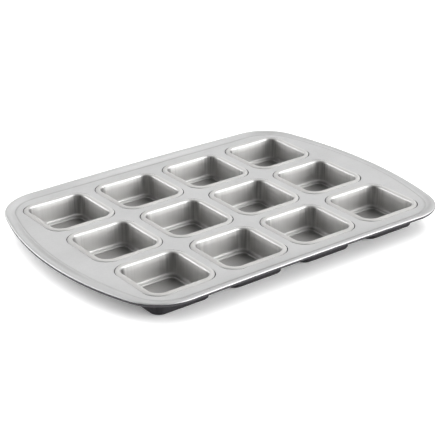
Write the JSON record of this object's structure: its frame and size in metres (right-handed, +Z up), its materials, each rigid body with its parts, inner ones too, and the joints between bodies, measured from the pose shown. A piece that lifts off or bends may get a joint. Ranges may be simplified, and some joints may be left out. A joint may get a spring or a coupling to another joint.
{
  "type": "brownie pan",
  "caption": "Metal brownie pan with a flat frame, a low curled border and a grid of square drawn cups that leave a separate brownie from each cup",
  "frame": {"origin": "centre of the pan's outline in plan, at the height of the cups' undersides, which rest on the table", "axes": "+X along the length, toward the higher-numbered cups; +Y across the width, from the front row to the back row; +Z up, out of the cups' mouths"},
  "size_m": [0.395, 0.285, 0.0275],
  "materials": {
    "frame_sheet": "satin",
    "wire": "satin",
    "cup_sheet": "satin"
  },
  "bodies": {
    "root": {"pan_frame": "frame_sheet", "rim_wire": "wire", "front_cup_1": "cup_sheet", "front_cup_2": "cup_sheet", "front_cup_3": "cup_sheet", "front_cup_4": "cup_sheet", "middle_cup_1": "cup_sheet", "middle_cup_2": "cup_sheet", "middle_cup_3": "cup_sheet", "middle_cup_4": "cup_sheet", "back_cup_1": "cup_sheet", "back_cup_2": "cup_sheet", "back_cup_3": "cup_sheet", "back_cup_4": "cup_sheet"}
  },
  "joints": []
}
